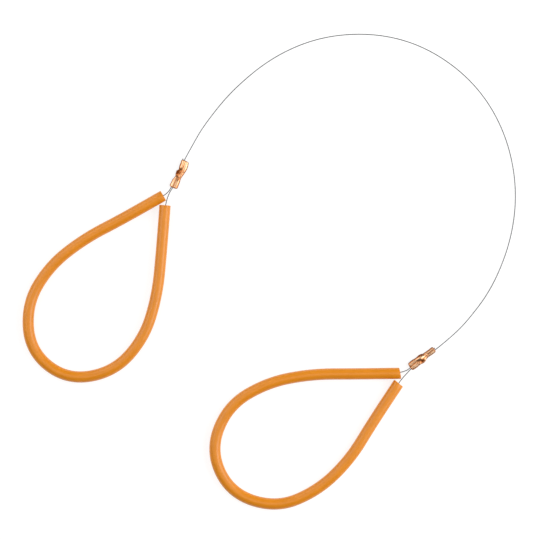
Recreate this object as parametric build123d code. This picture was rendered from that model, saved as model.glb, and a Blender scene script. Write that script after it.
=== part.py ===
from build123d import *
import math
import os

# Hand cutting wire: a springy stranded steel wire whose two ends are each looped
# back through an orange rubber tube and held by a crimped copper sleeve.
# Millimetres. It lies flat: +Z up, the floor at z = 0, and the origin under the
# middle of the box round the two hand loops and their sleeves.

# ---- driving dimensions -------------------------------------------------------
WIRE_DIAMETER = 0.5
TUBE_OUTSIDE = 6.5           # quarter inch rubber tubing, which runs a little full
TUBE_BORE = 3.2
TUBE_HEIGHT = TUBE_OUTSIDE / 2
OFFCUT_MARGIN = 0.05         # that a slanted cut's offcut stands clear of the tube's end
SLEEVE_WIDTH = 4.6           # the double barrel, side by side
SLEEVE_THICKNESS = 3.0
SLEEVE_WEB = 2.5             # thickness in the valley between the barrels
SLEEVE_HEIGHT = SLEEVE_THICKNESS / 2
SLEEVE_END_CHAMFER = 0.25
BORE_SPACING = 0.8           # the two wires, crushed close together
MOUTH_BORE = 1.1
MOUTH_DEPTH = 4.0
WIRE_CLEARANCE = 0.02        # left round a wire in the crushed middle
JAW_RADIUS = 2.6             # the crimping tool's nose
SIDE_DENT = 0.4
FACE_DENT = 0.55
TAIL_STAND_OUT = 0.8         # the cut wire end that shows at the outer mouth
LEG_START = 0.5              # from a sleeve's inner mouth to the fold of its loop
FOLD_GAP = 0.4               # between the wire ends that meet at a fold
MIDDLE_GAP = 0.5             # between the two halves of the wire where they bend

# How far a corner's arc reaches along the shorter of its two runs.
ARC_SHARE = 0.45

# Where each sleeve lies: the middle of its outer and of its inner mouth.
SLEEVES = {
    "left": {"outer": (-25.6, 99.9), "inner": (-32.2, 84.7)},
    "right": {"outer": (117.9, -8.7), "inner": (103.9, -18.4)},
}

# How far the pair of wires lies off the sleeve's middle at each mouth, towards the
# sleeve's own +Y: they were crimped a little askew.
PAIR_OFFSETS = {
    "left": {"outer": 1.0, "inner": 0.9},
    "right": {"outer": 0.1, "inner": -1.0},
}

# Each rubber tube from the mouth beside the tail's leg round to the other mouth.
TUBE_ROUTES = {
    "left": [
        (-38.0, 80.0), (-60.5, 67.0), (-83.0, 55.5), (-103.5, 39.5),
        (-116.5, 17.5), (-114.5, -9.5), (-93.5, -26.0), (-66.5, -21.5),
        (-49.0, -2.0), (-41.5, 22.5), (-39.0, 48.0), (-37.0, 74.4),
    ],
    "right": [
        (98.6, -22.1), (73.5, -22.5), (47.0, -22.5), (21.5, -27.5),
        (-1.0, -41.0), (-11.0, -66.5), (0.5, -91.0), (27.0, -99.5),
        (51.0, -89.5), (69.5, -71.5), (82.7, -49.5), (97.4, -27.5),
    ],
}

# How many degrees off square each tube was cut, turned about Z: the cut at the
# mouth beside the tail's leg, then the one beside the main wire's leg.
TUBE_CUTS = {"left": (0, 0), "right": (8, -5)}

# Between its sleeve and its tube each leg bends once on the way and once just
# outside the tube's mouth: tail's leg first, then the main wire's leg.
LEG_BENDS = {
    "left": {
        "tail": [(-34.8, 82.6, 1.8), (-36.9, 80.5, 2.7)],
        "main": [(-34.8, 81.2, 1.8), (-36.3, 76.7, 2.9)],
    },
    "right": {
        "tail": [(102.3, -20.4, 1.8), (99.3, -21.4, 2.8)],
        "main": [(102.4, -21.9, 1.8), (99.1, -25.3, 2.9)],
    },
}

# The cutting wire between its ends in the left sleeve and in the right one. It
# leaves each sleeve at the height of the bores and comes down to the floor.
WIRE_REST = WIRE_DIAMETER / 2
WIRE_ROUTE = [
    (-22.3, 107.3, 1.4), (-14.5, 121.0, 0.9),
    (2.5, 142.0, WIRE_REST), (27.0, 161.5, WIRE_REST), (55.5, 172.5, WIRE_REST),
    (87.5, 173.5, WIRE_REST), (116.0, 164.5, WIRE_REST),
    (141.5, 145.0, WIRE_REST), (158.0, 119.0, WIRE_REST),
    (165.5, 88.5, WIRE_REST), (163.5, 58.5, WIRE_REST),
    (152.5, 28.5, WIRE_REST), (136.5, 7.0, 0.9), (124.5, -4.0, 1.4),
]


def arc_radii(points):
    """The largest arc for each corner, from its shorter run and its turn."""
    radii = []
    for before, corner, after in zip(points, points[1:], points[2:]):
        run_in, run_out = corner - before, after - corner
        shorter = min(run_in.length, run_out.length)
        half_turn = math.radians(run_in.get_angle(run_out)) / 2
        radii.append(ARC_SHARE * shorter / math.tan(half_turn))
    return radii


def smooth_path(points, radii):
    """Straight runs joined by tangent arcs."""
    return Wire(FilletPolyline(*points, radius=radii).edges())


def swept(path, section, name):
    """The solid of a section along a path, with its volume tested."""
    solid = sweep(Plane(origin=path @ 0, z_dir=path % 0) * section, path=path)
    expected = section.area * path.length
    share = solid.volume / expected
    print(f"{name}: {path.length:.1f} mm long, volume {share:.4f} of section times length")
    return solid.solids()[0]


def sleeve_frame(side):
    """A frame with X from a sleeve's inner mouth to its outer one, Z up."""
    inner = Vector(*SLEEVES[side]["inner"], SLEEVE_HEIGHT)
    outer = Vector(*SLEEVES[side]["outer"], SLEEVE_HEIGHT)
    along = outer - inner
    return Plane(origin=inner, x_dir=along, z_dir=(0, 0, 1)), along.length


def pair_frame(side):
    """The same for the pair of wires, which lie askew in their sleeve."""
    sleeve, length = sleeve_frame(side)
    offsets = PAIR_OFFSETS[side]
    inner = (sleeve * Pos(0, offsets["inner"], 0)).position
    outer = (sleeve * Pos(length, offsets["outer"], 0)).position
    along = outer - inner
    return Plane(origin=inner, x_dir=along, z_dir=(0, 0, 1)), along.length


def bore_offset(wire):
    """The tail lies on the +Y side of the pair's frame, the main wire on -Y."""
    return BORE_SPACING / 2 if wire == "tail" else -BORE_SPACING / 2


def wire_exit(side):
    """Where the main wire leaves the sleeve's outer mouth, and bends."""
    frame, length = pair_frame(side)
    return (frame * Pos(length, bore_offset("main"), 0)).position


def crimp_sleeve(side):
    """A double-barrel sleeve, its middle nipped from both sides and both faces."""
    frame, length = sleeve_frame(side)
    barrel_offset = (SLEEVE_WIDTH - SLEEVE_THICKNESS) / 2
    barrels = Sketch() + [
        Pos(y, 0) * Circle(SLEEVE_THICKNESS / 2) for y in (-barrel_offset, barrel_offset)
    ]
    section = barrels + Rectangle(2 * barrel_offset, SLEEVE_WEB)
    body = extrude(Plane.YZ * section, amount=length)
    ends = body.faces().filter_by(Axis.X).edges()
    body = chamfer(ends, SLEEVE_END_CHAMFER)
    middle = length / 2
    for sign in (-1, 1):
        side_jaw = Pos(middle, sign * (SLEEVE_WIDTH / 2 - SIDE_DENT + JAW_RADIUS), 0)
        body -= side_jaw * Cylinder(JAW_RADIUS, 2 * SLEEVE_THICKNESS)
        face_jaw = Pos(middle, 0, sign * (SLEEVE_THICKNESS / 2 - FACE_DENT + JAW_RADIUS))
        body -= face_jaw * Rot(90, 0, 0) * Cylinder(JAW_RADIUS, 2 * SLEEVE_WIDTH)
    sleeve = frame * body
    pair, pair_length = pair_frame(side)
    for wire in ("tail", "main"):
        axis = Plane.YZ * Pos(bore_offset(wire), 0)
        bore = extrude(axis * Circle(WIRE_DIAMETER / 2 + WIRE_CLEARANCE), amount=pair_length)
        mouth = extrude(axis * Circle(MOUTH_BORE / 2), amount=2 * MOUTH_DEPTH)
        sleeve -= pair * bore
        for end in (0, pair_length):
            sleeve -= pair * Pos(end - MOUTH_DEPTH, 0, 0) * mouth
    return sleeve


def crimped_wires(side):
    """The main wire through the sleeve, and the cut tail beside it."""
    frame, length = pair_frame(side)
    inner_end = -(LEG_START - FOLD_GAP / 2)
    solids = []
    for wire, outer_end in (("main", length), ("tail", length + TAIL_STAND_OUT)):
        disc = Plane.YZ * Pos(bore_offset(wire), 0) * Circle(WIRE_DIAMETER / 2)
        rod = extrude(disc, amount=outer_end - inner_end)
        solids.append(frame * Pos(inner_end, 0, 0) * rod)
    return Compound(children=solids)


def tube_offcut(mouth, beside, degrees):
    """What a slanting knife takes off a square mouth, from its far rim inwards."""
    outward = (mouth - beside).normalized()
    slope = TUBE_OUTSIDE / 2 * math.tan(math.radians(abs(degrees)))
    depth = 2 * slope + OFFCUT_MARGIN
    stub = Cylinder(TUBE_OUTSIDE / 2 + OFFCUT_MARGIN, depth)
    stub = Plane(origin=mouth, z_dir=outward) * Pos(0, 0, OFFCUT_MARGIN - depth / 2) * stub
    knife = Plane(origin=mouth - outward * slope, x_dir=(0, 0, 1), z_dir=outward.rotate(Axis.Z, degrees))
    beyond = knife * Pos(0, 0, TUBE_OUTSIDE) * Box(*[2 * TUBE_OUTSIDE] * 3)
    return stub & beyond


def handle_tube(side):
    """A length of rubber tubing bent into a teardrop."""
    points = [Vector(x, y, TUBE_HEIGHT) for x, y in TUBE_ROUTES[side]]
    radii = arc_radii(points)
    print(f"{side} tube radii:", [round(radius, 1) for radius in radii])
    wall = Circle(TUBE_OUTSIDE / 2) - Circle(TUBE_BORE / 2)
    tube = swept(smooth_path(points, radii), wall, f"{side} tube")
    ends = ((points[0], points[1]), (points[-1], points[-2]))
    for (mouth, beside), degrees in zip(ends, TUBE_CUTS[side]):
        if degrees:
            tube -= tube_offcut(mouth, beside, degrees)
    return tube


def loop_wire(side):
    """From the fold at the sleeve, through the tube and back."""
    frame, _ = pair_frame(side)
    leg_end = -(LEG_START + FOLD_GAP / 2)
    ends = {wire: frame * Pos(leg_end, bore_offset(wire), 0) for wire in ("tail", "main")}
    tail_bends = [Vector(*bend) for bend in LEG_BENDS[side]["tail"]]
    main_bends = [Vector(*bend) for bend in LEG_BENDS[side]["main"]]
    in_tube = [Vector(x, y, TUBE_HEIGHT) for x, y in TUBE_ROUTES[side][1:-1]]
    points = [ends["tail"].position, *tail_bends, *in_tube]
    points += [*reversed(main_bends), ends["main"].position]
    radii = arc_radii(points)
    print(f"{side} loop wire radii:", [round(radius, 1) for radius in radii])
    path = smooth_path(points, radii)
    return swept(path, Circle(WIRE_DIAMETER / 2), f"{side} loop wire")


def wire_halves():
    """The cutting wire, parted in the middle of its span where it bends open."""
    points = [wire_exit("left"), *(Vector(*point) for point in WIRE_ROUTE), wire_exit("right")]
    radii = arc_radii(points)
    print("cutting wire radii:", [round(radius, 1) for radius in radii])
    whole = smooth_path(points, radii)
    print(f"cutting wire: {whole.length:.1f} mm between the sleeves")
    half = len(points) // 2
    before, after = points[half - 1], points[half]
    middle = (before + after) / 2
    half_gap = (after - before).normalized() * (MIDDLE_GAP / 2)
    print("it bends at", *(wire_exit(side) for side in SLEEVES), "and", middle)
    left = smooth_path([*points[:half], middle - half_gap], radii[: half - 1])
    right = smooth_path([middle + half_gap, *points[half:]], radii[half - 1 :])
    section = Circle(WIRE_DIAMETER / 2)
    return {
        "cutting_wire_left_half": swept(left, section, "left half"),
        "cutting_wire_right_half": swept(right, section, "right half"),
    }


def main():
    os.makedirs("parts", exist_ok=True)
    nodes = wire_halves()
    for side in ("left", "right"):
        nodes[f"{side}_crimp_sleeve"] = crimp_sleeve(side)
        nodes[f"{side}_crimped_wires"] = crimped_wires(side)
        nodes[f"{side}_loop_wire"] = loop_wire(side)
        nodes[f"{side}_handle_tube"] = handle_tube(side)
    for name, shape in nodes.items():
        export_step(shape, f"parts/{name}.step")


main()
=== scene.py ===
import bpy
import bmesh
import math
from mathutils import Matrix, Vector


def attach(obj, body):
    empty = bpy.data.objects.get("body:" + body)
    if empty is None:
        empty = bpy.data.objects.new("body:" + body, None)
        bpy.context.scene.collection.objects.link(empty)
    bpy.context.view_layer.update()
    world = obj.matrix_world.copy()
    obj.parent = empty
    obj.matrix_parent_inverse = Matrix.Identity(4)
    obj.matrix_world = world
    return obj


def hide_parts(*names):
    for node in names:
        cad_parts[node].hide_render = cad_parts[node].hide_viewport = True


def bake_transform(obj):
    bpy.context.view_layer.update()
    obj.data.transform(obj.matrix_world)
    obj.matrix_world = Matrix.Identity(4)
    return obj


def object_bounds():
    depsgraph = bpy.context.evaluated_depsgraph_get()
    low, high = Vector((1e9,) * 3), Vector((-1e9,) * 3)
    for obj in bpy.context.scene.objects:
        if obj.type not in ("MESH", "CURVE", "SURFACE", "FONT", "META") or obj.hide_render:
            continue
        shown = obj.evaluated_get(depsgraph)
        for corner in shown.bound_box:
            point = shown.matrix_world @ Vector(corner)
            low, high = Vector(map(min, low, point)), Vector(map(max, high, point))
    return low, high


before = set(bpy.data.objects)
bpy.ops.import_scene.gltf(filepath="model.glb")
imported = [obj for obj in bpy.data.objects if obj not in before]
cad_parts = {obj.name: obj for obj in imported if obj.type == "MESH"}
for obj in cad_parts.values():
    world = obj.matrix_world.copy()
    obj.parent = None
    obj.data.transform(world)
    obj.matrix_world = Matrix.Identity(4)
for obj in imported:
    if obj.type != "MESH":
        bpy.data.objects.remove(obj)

# A hand cutting wire on a pale table: one springy stranded steel wire, a hand loop
# of orange rubber tube at each end, and a pressed copper sleeve closing each loop.
# Sizes and places are the maker's millimetres unless they say MM, which turns them into metres.
MM = 0.001
cad_low, cad_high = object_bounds()

# ---- the wire -------------------------------------------------------------------
WIRE_RADIUS = 0.25 * MM
STRAND_RADIUS = WIRE_RADIUS / 3          # seven equal strands, one of them the core
LAY_LENGTH = 5.0 * MM                    # one turn of the outer strands
WIRE_REST = 0.25                         # how high its middle is where it lies on the table
CUT_SPLAY = 0.9                          # how much wider the strands stand at a cut end
SPLAY_LENGTH = 1.0 * MM                  # and how far in from it they do
WIRE_STEPS, LOOP_STEPS = 60, 36          # points to each run of a wire's route

# ---- the rubber tube --------------------------------------------------------------
TUBE_RADIUS = 3.25 * MM
TUBE_WALL = 1.65 * MM
TUBE_HEIGHT = 3.25
TUBE_SIDES, TUBE_STEPS = 40, 14          # points round its skin, and to each run of its route
WRAP_UNIT = 10.0                         # one unit of a surface map, along a tube or sleeve
CUT_ROUNDING = 0.16 * MM
RIM_DEGREES = 60                         # the skin turns by more than this only at a rim
CUT_RINGS = 4                            # the rings of skin that a slanted cut may reach
CUT_MARGIN = 0.05 * MM                   # kept between a slanted cut and its far rim
ENTRY_DEPTH = 3.5                        # where a leg has come to the middle of the bore

# ---- the copper sleeve ----------------------------------------------------------
SLEEVE_WIDTH = 4.6
SLEEVE_THICKNESS = 3.0
SLEEVE_HEIGHT = 1.5
BORE_OFFSET = 0.4                        # from the middle between the two wires to each
TAIL_STAND_OUT = 0.8                     # the cut wire end that shows at the outer mouth
TAIL_LEAN = 0.2                          # how far it leans away from the cutting wire
MAIN_END = -0.2                          # how far in the main wire gives way to the bare span
NIP_SHARE = 0.65                         # how far along the sleeve the wires are nipped

SIDES = ("left", "right")

# The middles of each sleeve's outer and inner mouth.
SLEEVE_MOUTHS = {
    "left": {"outer": (-25.6, 99.9), "inner": (-32.2, 84.7)},
    "right": {"outer": (117.9, -8.7), "inner": (103.9, -18.4)},
}

# Where the pair of wires runs level: the share of the way out, and how far beyond that.
PAIR_STATIONS = [(0, -0.7), (0, 0.5), (0.2, 0)]

# How far the pair of wires lies off the sleeve's middle at each mouth.
PAIR_OFFSETS = {
    "left": {"outer": 1.0, "inner": 0.9},
    "right": {"outer": 0.1, "inner": -1.0},
}

# Each tube's route, from the mouth on the tail's side round to the other one.
TUBE_ROUTES = {
    "left": [
        (-38.0, 80.0), (-60.5, 67.0), (-83.0, 55.5), (-103.5, 39.5),
        (-116.5, 17.5), (-114.5, -9.5), (-93.5, -26.0), (-66.5, -21.5),
        (-49.0, -2.0), (-41.5, 22.5), (-39.0, 48.0), (-37.0, 74.4),
    ],
    "right": [
        (98.6, -22.1), (73.5, -22.5), (47.0, -22.5), (21.5, -27.5),
        (-1.0, -41.0), (-11.0, -66.5), (0.5, -91.0), (27.0, -99.5),
        (51.0, -89.5), (69.5, -71.5), (82.7, -49.5), (97.4, -27.5),
    ],
}

# How many degrees off square the two ends of each tube were cut, turned about Z.
TUBE_CUTS = {"left": (0, 0), "right": (8, -5)}

# The bends of the two wire legs between each sleeve and its tube.
LEG_BENDS = {
    "left": {
        "tail": [(-34.8, 82.6, 1.8), (-36.9, 80.5, 2.7)],
        "main": [(-34.8, 81.2, 1.8), (-36.3, 76.7, 2.9)],
    },
    "right": {
        "tail": [(102.3, -20.4, 1.8), (99.3, -21.4, 2.8)],
        "main": [(102.4, -21.9, 1.8), (99.1, -25.3, 2.9)],
    },
}

# The cutting wire between the two sleeves.
WIRE_ROUTE = [
    (-22.3, 107.3, 1.4), (-14.5, 121.0, 0.9),
    (2.5, 142.0, WIRE_REST), (27.0, 161.5, WIRE_REST), (55.5, 172.5, WIRE_REST),
    (87.5, 173.5, WIRE_REST), (116.0, 164.5, WIRE_REST),
    (141.5, 145.0, WIRE_REST), (158.0, 119.0, WIRE_REST),
    (165.5, 88.5, WIRE_REST), (163.5, 58.5, WIRE_REST),
    (152.5, 28.5, WIRE_REST), (136.5, 7.0, 0.9), (124.5, -4.0, 1.4),
]


# ================================ small helpers ==================================
def linear(hex_colour):
    """An sRGB hex colour as linear RGBA."""
    channels = [int(hex_colour[i:i + 2], 16) / 255 for i in (0, 2, 4)]
    return [c / 12.92 if c <= 0.04045 else ((c + 0.055) / 1.055) ** 2.4 for c in channels] + [1]


def add_node(tree, kind, inputs=None, **settings):
    """A node with its settings; an input is a value or another node's output."""
    node = tree.nodes.new(kind)
    for name, value in settings.items():
        setattr(node, name, value)
    for name, value in (inputs or {}).items():
        if isinstance(value, bpy.types.NodeSocket):
            tree.links.new(value, node.inputs[name])
        else:
            node.inputs[name].default_value = value
    return node


def new_material(name, **shader_values):
    """A material with one Principled shader, its plain values set."""
    material = bpy.data.materials.new(name)
    material.use_nodes = True
    tree = material.node_tree
    shader = tree.nodes["Principled BSDF"]
    for socket, value in shader_values.items():
        shader.inputs[socket.replace("_", " ")].default_value = value
    return material, tree, shader


def colour_ramp(tree, factor, stops):
    """A ramp from (position, hex colour) pairs."""
    node = add_node(tree, "ShaderNodeValToRGB", {"Fac": factor})
    ramp = node.color_ramp
    while len(ramp.elements) < len(stops):
        ramp.elements.new(0.5)
    for element, (position, hex_colour) in zip(ramp.elements, stops):
        element.position = position
        element.color = linear(hex_colour)
    return node.outputs["Color"]


def add_object(name, mesh, material):
    """An object at the origin with one material."""
    mesh.materials.clear()
    mesh.materials.append(material)
    piece = bpy.data.objects.new(name, mesh)
    bpy.context.scene.collection.objects.link(piece)
    return piece


def smooth_shaded(mesh, sharp_degrees=35):
    mesh.shade_smooth()
    mesh.set_sharp_from_angle(angle=math.radians(sharp_degrees))


# ================================ routes =========================================
def route_line(points_mm, resolution):
    """The points of a route's smooth line: a NURBS spline through its runs."""
    curve = bpy.data.curves.new("route", "CURVE")
    curve.dimensions = "3D"
    spline = curve.splines.new("NURBS")
    spline.points.add(len(points_mm) - 1)
    for point, place in zip(spline.points, points_mm):
        point.co = (*(Vector(place) * MM), 1)
    spline.order_u = 3
    spline.use_endpoint_u = True
    spline.resolution_u = resolution
    holder = bpy.data.objects.new("route", curve)
    line = bpy.data.meshes.new_from_object(holder)
    places = [vertex.co.copy() for vertex in line.vertices]
    bpy.data.objects.remove(holder)
    bpy.data.meshes.remove(line)
    bpy.data.curves.remove(curve)
    return places


def run_lengths(places):
    """Distance along the line to each of its points."""
    along = [0.0]
    for before, after in zip(places, places[1:]):
        along.append(along[-1] + (after - before).length)
    return along


def frames_along(places):
    """A matrix at each point, Z along the line and X kept level with the table."""
    frames = []
    for i, place in enumerate(places):
        before, after = places[max(i - 1, 0)], places[min(i + 1, len(places) - 1)]
        tangent = (after - before).normalized()
        side = Vector((0, 0, 1)).cross(tangent).normalized()
        up = tangent.cross(side)
        frames.append(Matrix.Translation(place) @ Matrix((side, up, tangent)).transposed().to_4x4())
    return frames


def sleeve_matrix(side):
    """X from the sleeve's inner mouth to its outer one, in metres, and its length."""
    inner = Vector((*SLEEVE_MOUTHS[side]["inner"], SLEEVE_HEIGHT)) * MM
    outer = Vector((*SLEEVE_MOUTHS[side]["outer"], SLEEVE_HEIGHT)) * MM
    along = (outer - inner).normalized()
    across = Vector((0, 0, 1)).cross(along)
    axes = Matrix((along, across, Vector((0, 0, 1)))).transposed()
    return Matrix.Translation(inner) @ axes.to_4x4(), (outer - inner).length


def in_sleeve(side, x, y):
    """A place in a sleeve's own millimetres, as a route point in millimetres."""
    matrix, _ = sleeve_matrix(side)
    return (matrix @ (Vector((x, y, 0)) * MM)) / MM


def beside_pair(side, share, y, beyond=0.0):
    """A place beside the middle of the pair of wires, a share of the way out."""
    length = sleeve_matrix(side)[1] / MM
    inner = in_sleeve(side, 0, PAIR_OFFSETS[side]["inner"])
    outer = in_sleeve(side, length, PAIR_OFFSETS[side]["outer"])
    along = (outer - inner).normalized()
    across = Vector((0, 0, 1)).cross(along)
    return tuple(inner.lerp(outer, share) + along * beyond + across * y)


# ================================ materials ======================================
def per_metre(size):
    """The scale of a pattern whose features are this many millimetres across."""
    return 1 / (size * MM)


def drawn_stainless():
    """Stainless wire, drawn and stranded: dark between its bright strands, with a
    faint change of shade each millimetre."""
    material, tree, shader = new_material("drawn_stainless_strand", Metallic=1.0, Roughness=0.3)
    place = add_node(tree, "ShaderNodeTexCoord").outputs["Object"]
    grain = add_node(tree, "ShaderNodeTexNoise", {
        "Vector": place, "Scale": per_metre(1.11), "Detail": 3.0
    })
    colour = colour_ramp(tree, grain.outputs["Fac"], [(0.3, "4E5052"), (0.7, "6C6E70")])
    tree.links.new(colour, shader.inputs["Base Color"])
    rough = add_node(tree, "ShaderNodeMapRange", {
        "Value": grain.outputs["Fac"], "To Min": 0.34, "To Max": 0.5
    })
    tree.links.new(rough.outputs["Result"], shader.inputs["Roughness"])
    return material


def extruded_rubber():
    """Through-coloured rubber tube, extruded: satin, with faint lines along it, a
    quarter millimetre wide, and a fine grit."""
    material, tree, shader = new_material("extruded_orange_rubber", IOR=1.5)
    wrap = add_node(tree, "ShaderNodeUVMap", uv_map="wrap").outputs["UV"]
    place = add_node(tree, "ShaderNodeTexCoord").outputs["Object"]
    mottle = add_node(tree, "ShaderNodeTexNoise", {
        "Vector": place, "Scale": per_metre(8.33), "Detail": 4.0
    })
    colour = colour_ramp(tree, mottle.outputs["Fac"], [(0.3, "DA830C"), (0.7, "E08810")])
    tree.links.new(colour, shader.inputs["Base Color"])
    line_width, line_length = 0.227, 5.0
    round_tube = math.tau * TUBE_RADIUS / MM
    stretch = add_node(tree, "ShaderNodeMapping", {
        "Vector": wrap, "Scale": (round_tube / line_width, WRAP_UNIT / line_length, 1.0)
    })
    lines = add_node(tree, "ShaderNodeTexNoise", {
        "Vector": stretch.outputs["Vector"], "Scale": 1.0, "Detail": 2.0
    })
    grit = add_node(tree, "ShaderNodeTexNoise", {
        "Vector": place, "Scale": per_metre(0.286), "Detail": 2.0
    })
    both = add_node(tree, "ShaderNodeMath", {
        0: lines.outputs["Fac"], 1: grit.outputs["Fac"]
    }, operation="ADD")
    bump = add_node(tree, "ShaderNodeBump", {
        "Height": both.outputs["Value"], "Strength": 0.12, "Distance": 0.1 * MM
    })
    tree.links.new(bump.outputs["Normal"], shader.inputs["Normal"])
    rough = add_node(tree, "ShaderNodeMapRange", {
        "Value": mottle.outputs["Fac"], "To Min": 0.26, "To Max": 0.38
    })
    tree.links.new(rough.outputs["Result"], shader.inputs["Roughness"])
    return material


def pressed_copper():
    """Soft copper tube, drawn and then pressed: bright crests with fine lines along them,
    and brown on its flanks, in its valley, in its dents and at its rims that is partly tarnish and
    partly painted shade."""
    material, tree, shader = new_material("pressed_copper", Metallic=1.0)
    place = add_node(tree, "ShaderNodeTexCoord").outputs["Object"]
    wrap = add_node(tree, "ShaderNodeUVMap", uv_map="drawn").outputs["UV"]
    line_width, line_length = 0.371, 6.25
    round_sleeve = math.pi * SLEEVE_THICKNESS + 2 * (SLEEVE_WIDTH - SLEEVE_THICKNESS)
    stretch = add_node(tree, "ShaderNodeMapping", {
        "Vector": wrap, "Scale": (round_sleeve / line_width, WRAP_UNIT / line_length, 1.0)
    })
    lines = add_node(tree, "ShaderNodeTexNoise", {
        "Vector": stretch.outputs["Vector"], "Scale": 1.0, "Detail": 3.0
    })
    blotch = add_node(tree, "ShaderNodeTexNoise", {
        "Vector": place, "Scale": per_metre(1.54), "Detail": 4.0
    })
    # brown tarnish together with painted shade: darkest on the flanks, in the valley, in the dents
    # and at the rims
    tarnish_and_painted_shade = add_node(tree, "ShaderNodeAttribute", attribute_name="tarnish_and_painted_shade").outputs["Fac"]
    streaks = add_node(tree, "ShaderNodeMapRange", {
        "Value": lines.outputs["Fac"], "From Min": 0.38, "From Max": 0.66,
        "To Min": 0.0, "To Max": 0.38,
    })
    bright = colour_ramp(tree, blotch.outputs["Fac"], [(0.3, "E8BB92"), (0.7, "F4D3AF")])
    # tarnish and painted shade, added to the fine drawn lines; the ramp below turns this into
    # darker brown
    tarnish_shade_and_lines = add_node(tree, "ShaderNodeMath", {
        0: tarnish_and_painted_shade, 1: streaks.outputs["Result"]
    }, operation="ADD", use_clamp=True)
    shade = colour_ramp(tree, tarnish_shade_and_lines.outputs["Value"], [
        (0.0, "FFFFFF"), (0.5, "D6A57C"), (1.0, "824E2A")
    ])
    # 6, 7 and 2 are the Mix node's sockets for colours
    colour = add_node(tree, "ShaderNodeMix", {
        "Factor": 1.0, 6: bright, 7: shade
    }, data_type="RGBA", blend_type="MULTIPLY")
    tree.links.new(colour.outputs[2], shader.inputs["Base Color"])
    rough = add_node(tree, "ShaderNodeMapRange", {
        "Value": tarnish_shade_and_lines.outputs["Value"], "To Min": 0.22, "To Max": 0.5
    })
    tree.links.new(rough.outputs["Result"], shader.inputs["Roughness"])
    relief = add_node(tree, "ShaderNodeMath", {
        0: lines.outputs["Fac"], 1: blotch.outputs["Fac"]
    }, operation="ADD")
    bump = add_node(tree, "ShaderNodeBump", {
        "Height": relief.outputs["Value"], "Strength": 0.2, "Distance": 0.08 * MM
    })
    tree.links.new(bump.outputs["Normal"], shader.inputs["Normal"])
    return material


def frosted_table():
    """Frosted glass lit from beneath: white, matt and nearly without shadows."""
    material, tree, shader = new_material(
        "frosted_light_table", Roughness=0.8,
        Emission_Color=(1, 1, 1, 1), Emission_Strength=0.78,
    )
    place = add_node(tree, "ShaderNodeTexCoord").outputs["Object"]
    cloud = add_node(tree, "ShaderNodeTexNoise", {
        "Vector": place, "Scale": per_metre(167.0), "Detail": 2.0
    })
    colour = colour_ramp(tree, cloud.outputs["Fac"], [(0.3, "909090"), (0.7, "949494")])
    tree.links.new(colour, shader.inputs["Base Color"])
    return material


# ================================ stranded wire ==================================
def stranded_wire(name, places, material, splay=0.0):
    """Six strands laid round a core along a line, at its start spread by splay."""
    along = run_lengths(places)
    frames = frames_along(places)
    curve = bpy.data.curves.new(name, "CURVE")
    curve.dimensions = "3D"
    curve.bevel_depth = STRAND_RADIUS
    curve.bevel_resolution = 1
    curve.use_fill_caps = True
    for strand in range(7):
        lay_radius = 0.0 if strand == 6 else 2 * STRAND_RADIUS
        spline = curve.splines.new("POLY")
        spline.points.add(len(places) - 1)
        for point, matrix, distance in zip(spline.points, frames, along):
            angle = 2 * math.pi * (distance / LAY_LENGTH + strand / 6)
            spread = lay_radius * (1 + splay * max(1 - distance / SPLAY_LENGTH, 0.0))
            offset = Vector((spread * math.cos(angle), spread * math.sin(angle), 0))
            point.co = (*(matrix @ offset), 1)
    holder = bpy.data.objects.new(name, curve)
    mesh = bpy.data.meshes.new_from_object(holder)
    bpy.data.objects.remove(holder)
    bpy.data.curves.remove(curve)
    mesh.name = name
    mesh.shade_smooth()
    return add_object(name, mesh, material)


def cutting_wire(material):
    """The bare span, from just inside one sleeve to just inside the other."""
    exits = {side: beside_pair(side, 1, -BORE_OFFSET) for side in SIDES}
    places = route_line([exits["left"], *WIRE_ROUTE, exits["right"]], WIRE_STEPS)
    wire = stranded_wire("cutting_wire", places, material)
    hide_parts("cutting_wire_left_half", "cutting_wire_right_half")
    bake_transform(wire)


def loop_wire(side, material):
    """The same wire beyond a sleeve: tail, leg, through the tube, leg, and back in."""
    nip = NIP_SHARE * sleeve_matrix(side)[1] / MM
    nip_sway = along_list(PRESSINGS[side]["sway"], nip)
    tail, main = (
        [beside_pair(side, share, y, beyond) for share, beyond in PAIR_STATIONS]
        + [in_sleeve(side, nip, nip_sway + y)]
        for y in (BORE_OFFSET, -BORE_OFFSET)
    )
    tail.append(beside_pair(side, 1, BORE_OFFSET + TAIL_LEAN, TAIL_STAND_OUT))
    main.append(beside_pair(side, 1, -BORE_OFFSET, MAIN_END))
    route = [Vector((x, y, TUBE_HEIGHT)) for x, y in TUBE_ROUTES[side]]
    first, last = (
        mouth + (inside - mouth).normalized() * ENTRY_DEPTH
        for mouth, inside in (route[:2], route[:-3:-1])
    )
    in_tube = [first, *route[1:-1], last]
    bends = LEG_BENDS[side]
    points = [*reversed(tail), *bends["tail"], *in_tube, *reversed(bends["main"]), *main]
    places = route_line(points, LOOP_STEPS)
    wire = stranded_wire(f"{side}_loop_wire_strands", places, material, splay=CUT_SPLAY)
    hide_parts(f"{side}_crimped_wires", f"{side}_loop_wire")
    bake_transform(wire)


# ================================ rubber hand loops ==============================
def slant_cut(mesh, near, mouth, outward, degrees):
    """Cuts a square mouth off at a slant, from its far rim inwards."""
    normal = Matrix.Rotation(math.radians(degrees), 3, "Z") @ outward
    slope = TUBE_RADIUS * math.tan(math.radians(abs(degrees)))
    knife = mouth - outward * (slope + CUT_MARGIN)
    # dictionaries keep the order, so the cut comes out the same each time
    edges = dict.fromkeys(edge for face in near for edge in face.edges)
    verts = dict.fromkeys(vert for face in near for vert in face.verts)
    bmesh.ops.bisect_plane(mesh, geom=[*near, *edges, *verts], plane_co=knife, plane_no=normal,
                           clear_outer=True)


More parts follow.
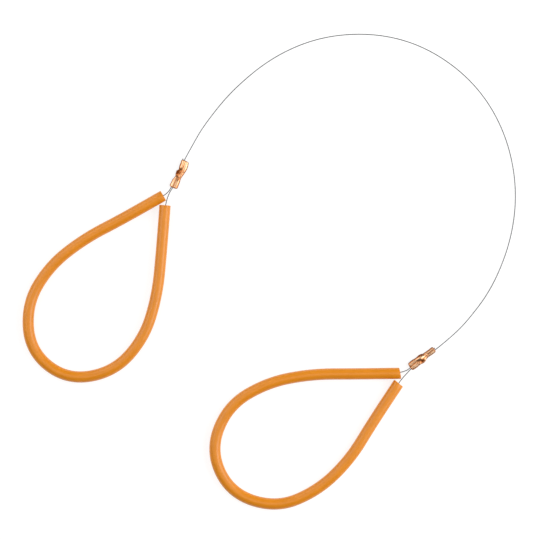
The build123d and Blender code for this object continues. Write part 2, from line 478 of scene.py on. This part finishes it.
def rubber_tube(side, material):
    """The tube's skin extruded along its route and cut off, then given its wall."""
    route = [(x, y, TUBE_HEIGHT) for x, y in TUBE_ROUTES[side]]
    places = route_line(route, TUBE_STEPS)
    along = run_lengths(places)
    frames = frames_along(places)
    mesh = bmesh.new()
    wrap = mesh.loops.layers.uv.new("wrap")
    bmesh.ops.create_circle(mesh, cap_ends=False, segments=TUBE_SIDES, radius=TUBE_RADIUS)
    ring = list(mesh.edges)
    bmesh.ops.transform(mesh, matrix=frames[0], verts=mesh.verts[:])
    for before, after in zip(frames, frames[1:]):
        grown = bmesh.ops.extrude_edge_only(mesh, edges=ring)["geom"]
        ring = [part for part in grown if isinstance(part, bmesh.types.BMEdge)]
        verts = [part for part in grown if isinstance(part, bmesh.types.BMVert)]
        bmesh.ops.transform(mesh, matrix=after @ before.inverted(), verts=verts)
    mesh.normal_update()
    mesh.verts.index_update()
    bmesh.ops.recalc_face_normals(mesh, faces=mesh.faces[:])
    for face in mesh.faces:
        for loop in face.loops:
            station, turn = divmod(loop.vert.index, TUBE_SIDES)
            at_seam = any(vert.index % TUBE_SIDES == TUBE_SIDES - 1 for vert in face.verts)
            around = 1.0 if turn == 0 and at_seam else turn / TUBE_SIDES
            loop[wrap].uv = (around, along[station] / (WRAP_UNIT * MM))
    early, late = CUT_RINGS * TUBE_SIDES, (len(places) - CUT_RINGS) * TUBE_SIDES
    first_faces = [face for face in mesh.faces if face.verts[0].index < early]
    last_faces = [face for face in mesh.faces if face.verts[0].index >= late]
    for end, near, degrees in zip((0, -1), (first_faces, last_faces), TUBE_CUTS[side]):
        if degrees:
            outward = frames[end].col[2].xyz * (-1 if end == 0 else 1)
            slant_cut(mesh, near, places[end], outward, degrees)
    bmesh.ops.solidify(mesh, geom=mesh.faces[:], thickness=TUBE_WALL)
    rims = [edge for edge in mesh.edges if edge.calc_face_angle(0.0) > math.radians(RIM_DEGREES)]
    bmesh.ops.bevel(mesh, geom=rims, offset=CUT_ROUNDING, offset_type="OFFSET", affect="EDGES",
                    segments=2, profile=0.5, material=-1)
    data = bpy.data.meshes.new(f"{side}_rubber_tube")
    mesh.to_mesh(data)
    mesh.free()
    smooth_shaded(data)
    tube = add_object(f"{side}_rubber_tube", data, material)
    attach(tube, f"{side}_handle")
    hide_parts(f"{side}_handle_tube")


# ================================ copper sleeves =================================
RING_SIDES, RINGS = 96, 120
BARREL_TURN = 3.2                        # how quickly one barrel passes into the other
END_ROUNDING, END_TUCK = 0.45, 0.13      # how far the rims are rounded over, and how deeply
RIM_BOW, RIM_CURVE = 0.22, 1.6           # how far a rim's middle stands out, and how it falls off
RIM_FADE = 3.0                           # how far in from a mouth that is felt
VALLEY_WIDTH = 0.55
DENT_FALL = 1.7                          # how quickly a dent fades away from its middle
FLANK_PULL, FLANK = 0.45, (1.2, 2.2)     # how much a dent draws the flank in, and where that is
WIRES_WITHIN = 0.4                       # the wires stop a dent this far off the middle plane

# From a rim round the lip, over the cut edge and down the bore: how much deeper each
# ring is than the one before, and its width and thickness as shares of that one's.
MOUTH_RINGS = [(-0.06, 0.95, 0.93), (0.06, 0.90, 0.80), (0.5, 0.98, 0.94), (4.0, 0.9, 0.7)]

# How dark the copper is painted, brown tarnish and painted shade together: on its flanks (the +Y
# one, the -Y one, and the shares of the half width where that starts and is full), in its valley,
# in its dents and at its rims.
# painted shade: the +Y flank is painted darker than the -Y one, as if the light falls from the -Y
# side
FLANK_TARNISH_AND_SHADE, FLANK_TARNISH_AND_SHADE_FROM = (0.9, 0.6), (0.62, 0.95)
VALLEY_TARNISH_AND_SHADE, VALLEY_TARNISH_AND_SHADE_WIDTH = 0.4, 0.35
DENT_TARNISH_AND_SHADE = 1.2
RIM_TARNISH_AND_SHADE, RIM_TARNISH_AND_SHADE_REACH = 0.6, 0.5

# How each sleeve was pressed, in its own millimetres, X from its inner mouth:
# sway is how far its middle line strays to the side, girth its width there as a
# share of the drawn one and height its thickness, valley the depth between its
# barrels, twist their turn in degrees, dents (x, y, half length, half width, depth).
PRESSINGS = {
    "left": {
        "sway": [
            (0.0, 0.15), (4.0, 0.12), (6.4, -0.1), (8.0, 0.1), (9.4, 0.0), (11.3, -0.6),
            (14.0, -0.5), (16.5, -0.2),
        ],
        "girth": [
            (0.0, 1.07), (3.6, 1.02), (6.5, 0.82), (8.0, 1.0), (9.4, 1.1), (11.2, 0.98),
            (13.0, 1.06), (16.5, 1.0),
        ],
        "valley": [(0.0, 0.02), (6.0, 0.05), (11.5, 0.2), (16.5, 0.25)],
        "twist": [(0.0, -9.0), (5.0, -9.0), (10.0, 0.0), (16.5, 4.0)],
        "height": [(0.0, 1.0), (16.5, 1.0)],
        "dents": [
            (9.2, 1.2, 2.5, 1.9, 1.15), (7.3, 1.0, 1.0, 1.8, 0.45),
            (5.9, -1.1, 1.6, 1.2, 0.35), (10.6, 1.7, 0.9, 1.3, 0.4),
            (14.0, 1.5, 2.2, 0.4, 0.2),
        ],
    },
    "right": {
        "sway": [
            (0.0, -0.2), (5.5, -0.05), (8.0, -0.05), (9.4, 0.05), (10.4, 0.2), (14.6, 0.2),
            (17.0, 0.35),
        ],
        "girth": [
            (0.0, 1.05), (2.5, 1.14), (5.6, 1.04), (7.9, 1.2), (9.2, 1.1), (10.4, 0.84),
            (11.8, 0.77), (17.0, 0.8),
        ],
        "valley": [(0.0, 0.3), (5.0, 0.4), (8.0, 0.1), (11.0, 0.1), (13.0, 0.3), (17.0, 0.35)],
        "twist": [(0.0, 0.0), (5.0, 0.0), (8.0, 9.0), (17.0, 9.0)],
        "height": [(0.0, 1.0), (4.5, 0.95), (7.5, 1.15), (11.2, 0.8), (17.0, 0.85)],
        "dents": [
            (7.5, -1.2, 1.5, 1.0, 0.85), (5.7, -0.5, 1.9, 0.7, 0.25),
            (7.9, 2.2, 1.8, 0.6, 0.4), (10.4, 1.8, 1.1, 1.0, 0.45),
        ],
    },
}


def smooth_step(low, high, value):
    t = min(max((value - low) / (high - low), 0.0), 1.0)
    return t * t * (3 - 2 * t)


def along_list(stations, x):
    """The value between the two stations on either side of x, eased."""
    for (x0, value0), (x1, value1) in zip(stations, stations[1:]):
        if x <= x1:
            return value0 + (value1 - value0) * smooth_step(x0, x1, x)
    return stations[-1][1]


def barrel_point(cosine, sine):
    """The double barrel's outline before its valley is pressed: long and round."""
    radius = SLEEVE_THICKNESS / 2
    offset = SLEEVE_WIDTH / 2 - radius
    return offset * math.tanh(BARREL_TURN * cosine) + radius * cosine, radius * sine


def pressed(side, length, x, y, z):
    """Where the tool left a point of the drawn sleeve, and how far it was dented."""
    how = PRESSINGS[side]
    # the rims: bowed outwards, with their corners rounded over
    from_end = max(min(x, length - x), 0.0)
    corner = 1 - min(from_end / END_ROUNDING, 1.0)
    tuck = 1 - END_TUCK * (1 - math.sqrt(1 - corner ** 2))
    y, z = y * tuck, z * tuck
    bow = RIM_BOW * (1 - RIM_CURVE * (y / (SLEEVE_WIDTH / 2)) ** 2)
    bow *= 1 - smooth_step(0.0, RIM_FADE, from_end)
    x += -bow if x < length / 2 else bow
    # the body: the valley between the barrels, the width, the thickness and the dents
    z *= 1 - along_list(how["valley"], x) * math.exp(-((y / VALLEY_WIDTH) ** 2))
    y *= along_list(how["girth"], x)
    z *= along_list(how["height"], x)
    dent = 0.0
    for middle, across, half_long, half_wide, depth in how["dents"]:
        away = math.hypot((x - middle) / half_long, (y - across) / half_wide)
        press = math.exp(-DENT_FALL * away ** 2)
        z = math.copysign(max(abs(z) - depth * press, min(abs(z), WIRES_WITHIN)), z)
        y -= FLANK_PULL * depth * press * smooth_step(*FLANK, abs(y)) * math.copysign(1, y)
        dent = max(dent, press * min(depth, 1.0))
    # the whole: turned, kept above the table, and bent sideways
    angle = math.radians(along_list(how["twist"], x))
    y, z = y * math.cos(angle) - z * math.sin(angle), y * math.sin(angle) + z * math.cos(angle)
    z += (SLEEVE_WIDTH - SLEEVE_THICKNESS) / 2 * math.sin(abs(angle))
    y += along_list(how["sway"], x)
    return x, y, z, dent


def copper_sleeve(side, material):
    """A double-barrel sleeve drawn ring by ring, opened at both mouths, then pressed."""
    matrix, length = sleeve_matrix(side)
    length = length / MM
    mesh = bmesh.new()
    # brown tarnish together with painted shade, one value per point
    tarnish_and_painted_shade = mesh.verts.layers.float.new("tarnish_and_painted_shade")
    drawn = mesh.loops.layers.uv.new("drawn")
    bmesh.ops.create_circle(mesh, cap_ends=False, segments=RING_SIDES, radius=1.0)
    for vert in mesh.verts:
        y, z = barrel_point(vert.co.x, vert.co.y)
        vert.co = Vector((0.0, y, z))
    ring = list(mesh.edges)
    first_ring = list(mesh.edges)
    step = Vector((length / RINGS, 0, 0))
    for _ in range(RINGS):
        grown = bmesh.ops.extrude_edge_only(mesh, edges=ring)["geom"]
        ring = [part for part in grown if isinstance(part, bmesh.types.BMEdge)]
        verts = [part for part in grown if isinstance(part, bmesh.types.BMVert)]
        bmesh.ops.translate(mesh, vec=step, verts=verts)
    for rim, inward in ((first_ring, 1), (ring, -1)):
        for deeper, wide, thick in MOUTH_RINGS:
            grown = bmesh.ops.extrude_edge_only(mesh, edges=rim)["geom"]
            rim = [part for part in grown if isinstance(part, bmesh.types.BMEdge)]
            verts = [part for part in grown if isinstance(part, bmesh.types.BMVert)]
            bmesh.ops.scale(mesh, vec=(1, wide, thick), verts=verts)
            bmesh.ops.translate(mesh, vec=(inward * deeper, 0, 0), verts=verts)
        bmesh.ops.holes_fill(mesh, edges=rim, sides=0)
    bmesh.ops.recalc_face_normals(mesh, faces=mesh.faces[:])
    for vert in mesh.verts:
        around = math.atan2(vert.co.z, vert.co.y) / math.tau
        for loop in vert.link_loops:
            loop[drawn].uv = (around, vert.co.x / WRAP_UNIT)
    # painted shade with tarnish: darker on the flanks (more on the +Y one), in the valley, in the
    # dents and at the rims
    for vert in mesh.verts:
        half_share = abs(vert.co.y) / (SLEEVE_WIDTH / 2)
        flank = FLANK_TARNISH_AND_SHADE[0 if vert.co.y > 0 else 1] * smooth_step(*FLANK_TARNISH_AND_SHADE_FROM, half_share)
        valley = VALLEY_TARNISH_AND_SHADE * math.exp(-((vert.co.y / VALLEY_TARNISH_AND_SHADE_WIDTH) ** 2))
        x, y, z, dent = pressed(side, length, *vert.co)
        at_rim = RIM_TARNISH_AND_SHADE * (1 - smooth_step(0.0, RIM_TARNISH_AND_SHADE_REACH, min(x, length - x)))
        vert[tarnish_and_painted_shade] = min(max(flank, valley, DENT_TARNISH_AND_SHADE * dent, at_rim), 1.0)
        vert.co = matrix @ (Vector((x, y, z)) * MM)
    data = bpy.data.meshes.new(f"{side}_copper_sleeve")
    mesh.to_mesh(data)
    mesh.free()
    smooth_shaded(data, sharp_degrees=50)
    sleeve = add_object(f"{side}_copper_sleeve", data, material)
    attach(sleeve, f"{side}_crimp")
    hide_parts(f"{side}_crimp_sleeve")


# ================================ table, light, camera ===========================
TABLE_HALF = 3.0                         # metres, far past what is in view
SKY_LIGHT = 0.18                         # what the white studio gives off beside its lamps
LENS, SENSOR = 135.0, 36.0
FIELD_WIDTH = 310.3                      # the width of table in view
FIELD_SHIFT = (0.3, 0.9)                 # from the object's middle to the view's

# Each lamp's place and aim from the object's middle, its width and height, all in
# metres, and its brightness as a share of the white table's.
LAMPS = {
    "ceiling": ((0, 0, 1.0), (0, 0, 0), 2.2, 0.7, 0.95),
    "right_window": ((0.85, 0, 0.62), (0, 0, 0.3), 1.3, 0.8, 3.3),
    "left_window": ((-0.72, 0.45, 0.62), (0, 0, 0.3), 1.2, 0.8, 1.9),
}


def table(material):
    """A flat top under the object."""
    mesh = bmesh.new()
    bmesh.ops.create_grid(mesh, x_segments=2, y_segments=2, size=TABLE_HALF)
    data = bpy.data.meshes.new("table")
    mesh.to_mesh(data)
    mesh.free()
    top = add_object("table", data, material)


def soft_box(name, place, aim, width, height, brightness):
    """An area light of a given brightness, as white cloth lit from behind."""
    light = bpy.data.lights.new(name, "AREA")
    light.shape = "RECTANGLE"
    light.size, light.size_y = width, height
    light.energy = brightness * math.pi * width * height
    box = bpy.data.objects.new(name, light)
    box.visible_camera = False
    bpy.context.scene.collection.objects.link(box)
    box.location = place
    box.rotation_euler = (aim - place).to_track_quat("-Z", "Y").to_euler()


def studio():
    """A wide soft ceiling, with a strip box on each side, the right one stronger."""
    world = bpy.data.worlds.new("studio")
    bpy.context.scene.world = world
    world.use_nodes = True
    tree = world.node_tree
    ray = add_node(tree, "ShaderNodeLightPath")
    strength = add_node(tree, "ShaderNodeMapRange", {
        "Value": ray.outputs["Is Camera Ray"], "To Min": SKY_LIGHT, "To Max": 1.0
    })
    background = tree.nodes["Background"]
    background.inputs["Color"].default_value = (1, 1, 1, 1)
    tree.links.new(strength.outputs["Result"], background.inputs["Strength"])
    centre = (cad_low + cad_high) / 2
    for name, (place, aim, width, height, brightness) in LAMPS.items():
        soft_box(name, centre + Vector(place), centre + Vector(aim), width, height, brightness)
    bpy.context.scene.view_settings.view_transform = "Standard"
    bpy.context.scene.view_settings.look = "None"


def overhead_camera():
    """Straight down, far enough off for almost no perspective."""
    camera = bpy.data.cameras.new("camera")
    camera.lens, camera.sensor_width = LENS, SENSOR
    holder = bpy.data.objects.new("camera", camera)
    bpy.context.scene.collection.objects.link(holder)
    centre = (cad_low + cad_high) / 2
    above_tubes = FIELD_WIDTH * LENS / SENSOR
    shift = Vector((*FIELD_SHIFT, above_tubes + TUBE_HEIGHT)) * MM
    holder.location = (centre.x + shift.x, centre.y + shift.y, shift.z)
    bpy.context.scene.camera = holder


overhead_camera()
studio()
table(frosted_table())

steel, rubber, copper = drawn_stainless(), extruded_rubber(), pressed_copper()
cutting_wire(steel)
for side in SIDES:
    loop_wire(side, steel)
    rubber_tube(side, rubber)
    copper_sleeve(side, copper)
